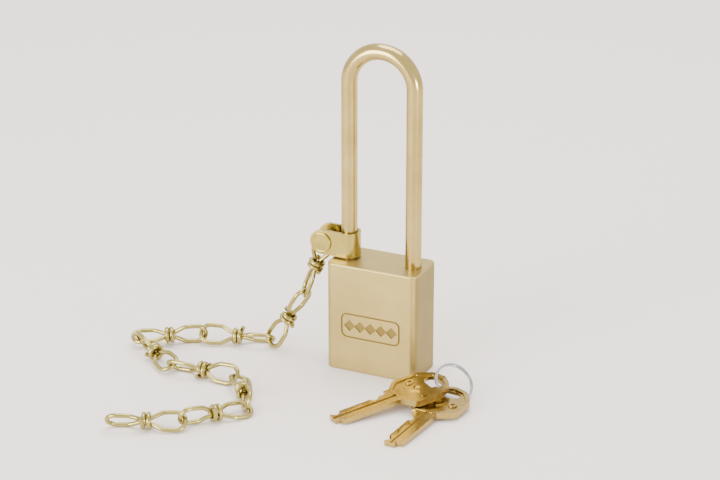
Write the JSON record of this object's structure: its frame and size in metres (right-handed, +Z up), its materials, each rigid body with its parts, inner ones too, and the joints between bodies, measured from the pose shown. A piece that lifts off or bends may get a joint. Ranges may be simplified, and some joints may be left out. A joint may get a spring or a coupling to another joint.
{
  "type": "padlock with keeper chain and keys",
  "caption": "Long-shackle solid brass padlock with a key cylinder, ball locking, a riveted clevis, a knotted-wire keeper chain and keys on a split ring.",
  "frame": {"origin": "centre of the lock body's bottom face, on the key cylinder's axis", "axes": "+Z up along the shackle, +X towards the shackle's toe leg, -Y out of the engraved front"},
  "size_m": [0.1461, 0.1049, 0.1321],
  "materials": {
    "body_brass": "satin, finely brushed",
    "shackle_brass": "bright, polished over the bend",
    "clevis_brass": "satin on the ears, polished round the leg",
    "chain_brass": "bright drawn wire",
    "key_brass": "stamped, lightly worn",
    "cylinder_brass": "turned",
    "steel": "ground",
    "ring_nickel": "bright nickel plate"
  },
  "bodies": {
    "lock_body": {"lock_body": "body_brass", "cylinder_housing": "cylinder_brass", "pin_chamber_cap": "cylinder_brass", "retaining_screw": "steel", "retaining_dog": "steel", "ejector_spring": "steel", "driver_pin_1": "cylinder_brass", "driver_pin_2": "cylinder_brass", "driver_pin_3": "cylinder_brass", "driver_pin_4": "cylinder_brass", "driver_pin_5": "cylinder_brass", "pin_spring_1": "steel", "pin_spring_2": "steel", "pin_spring_3": "steel", "pin_spring_4": "steel", "pin_spring_5": "steel"},
    "shackle": {"shackle": "shackle_brass", "ejector_cup": "cylinder_brass"},
    "plug": {"cylinder_plug": "cylinder_brass", "plug_clip": "steel", "key_pin_1": "cylinder_brass", "key_pin_2": "cylinder_brass", "key_pin_3": "cylinder_brass", "key_pin_4": "cylinder_brass", "key_pin_5": "cylinder_brass"},
    "actuator": {"actuator": "cylinder_brass"},
    "toe_ball": {"toe_ball": "steel"},
    "heel_ball": {"heel_ball": "steel"},
    "clevis": {"clevis_strap": "clevis_brass", "clevis_rivet": "clevis_brass"},
    "link_1": {"chain_link_1": "chain_brass"},
    "link_2": {"chain_link_2": "chain_brass"},
    "link_3": {"chain_link_3": "chain_brass"},
    "link_4": {"chain_link_4": "chain_brass"},
    "link_5": {"chain_link_5": "chain_brass"},
    "link_6": {"chain_link_6": "chain_brass"},
    "link_7": {"chain_link_7": "chain_brass"},
    "link_8": {"chain_link_8": "chain_brass"},
    "link_9": {"chain_link_9": "chain_brass"},
    "key_ring": {"key_ring": "ring_nickel"},
    "key_1": {"key_1": "key_brass"},
    "key_2": {"key_2": "key_brass"}
  },
  "joints": [
    {"name": "shackle_lift", "type": "slide", "parent": "lock_body", "child": "shackle", "axis": [0, 0, 1], "range_m": [0, 0.0135], "deforming": ["ejector_spring"]},
    {"name": "plug_turn", "type": "hinge", "parent": "lock_body", "child": "plug", "pos_m": [0, 0, 0.014], "axis": [0, 0, 1], "range_deg": [-90, 0]},
    {"name": "actuator_turn", "type": "hinge", "parent": "lock_body", "child": "actuator", "pos_m": [0, 0, 0.034], "axis": [0, 0, 1], "range_deg": [-90, 0]},
    {"name": "toe_ball_slide", "type": "slide", "parent": "lock_body", "child": "toe_ball", "axis": [1, 0, 0], "range_m": [0, 0.0017]},
    {"name": "heel_ball_slide", "type": "slide", "parent": "lock_body", "child": "heel_ball", "axis": [-1, 0, 0], "range_m": [0, 0.0011]},
    {"name": "clevis_turn", "type": "hinge", "parent": "lock_body", "child": "clevis", "pos_m": [-0.0135, 0, 0.05005], "axis": [0, 0, 1], "range_deg": [-30, 30]},
    {"name": "link_1_swing", "type": "hinge", "parent": "clevis", "child": "link_1", "pos_m": [-0.0234, 0, 0.05005], "axis": [0, 1, 0], "range_deg": [-20, 60]},
    {"name": "link_2_swing", "type": "hinge", "parent": "link_1", "child": "link_2", "pos_m": [-0.03327, -0.00046, 0.02539], "axis": [0.406, -0.825, -0.393], "range_deg": [-15, 60]},
    {"name": "link_3_swing", "type": "hinge", "parent": "link_2", "child": "link_3", "pos_m": [-0.048, -0.00292, 0.00307], "axis": [-0.4268, 0.3988, 0.8116], "range_deg": [-60, 60]},
    {"name": "link_4_swing", "type": "hinge", "parent": "link_3", "child": "link_4", "pos_m": [-0.07385, -0.01179, 0.00446], "axis": [0.2099, -0.6217, -0.7546], "range_deg": [-60, 38]},
    {"name": "link_5_swing", "type": "hinge", "parent": "link_4", "child": "link_5", "pos_m": [-0.09496, -0.02665, 0.00295], "axis": [-0.9905, 0.088, 0.106], "range_deg": [-5, 60]},
    {"name": "link_6_swing", "type": "hinge", "parent": "link_5", "child": "link_6", "pos_m": [-0.07086, -0.04149, 0.00311], "axis": [0.5328, 0.7248, 0.4369], "range_deg": [-60, 45]},
    {"name": "link_7_swing", "type": "hinge", "parent": "link_6", "child": "link_7", "pos_m": [-0.04332, -0.03902, 0.00345], "axis": [-0.015, -0.708, -0.706], "range_deg": [-60, 38]},
    {"name": "link_8_swing", "type": "hinge", "parent": "link_7", "child": "link_8", "pos_m": [-0.02883, -0.05988, 0.00161], "axis": [-0.598, 0.584, -0.549], "range_deg": [-60, 60]},
    {"name": "link_9_swing", "type": "hinge", "parent": "link_8", "child": "link_9", "pos_m": [-0.04476, -0.08137, 0.00348], "axis": [0.019, 0.5367, -0.8436], "range_deg": [-60, 60]},
    {"name": "key_set_lift", "type": "slide", "parent": "lock_body", "child": "key_ring", "axis": [0, 0, 1], "range_m": [0, 0.12]},
    {"name": "key_1_swing", "type": "hinge", "parent": "key_ring", "child": "key_1", "pos_m": [0.03231, -0.01952, 0.00672], "axis": [0, 0, 1], "range_deg": [-20, 20]},
    {"name": "key_2_swing", "type": "hinge", "parent": "key_ring", "child": "key_2", "pos_m": [0.03664, -0.02037, 0.00289], "axis": [0, 0, 1], "range_deg": [-20, 20]}
  ],
  "couplings": [
    {"joint": "actuator_turn", "follows": "plug_turn", "ratio": 1},
    {"joint": "toe_ball_slide", "follows": "plug_turn", "m_per_rad": -0.0010823},
    {"joint": "heel_ball_slide", "follows": "plug_turn", "m_per_rad": -0.00070028}
  ]
}
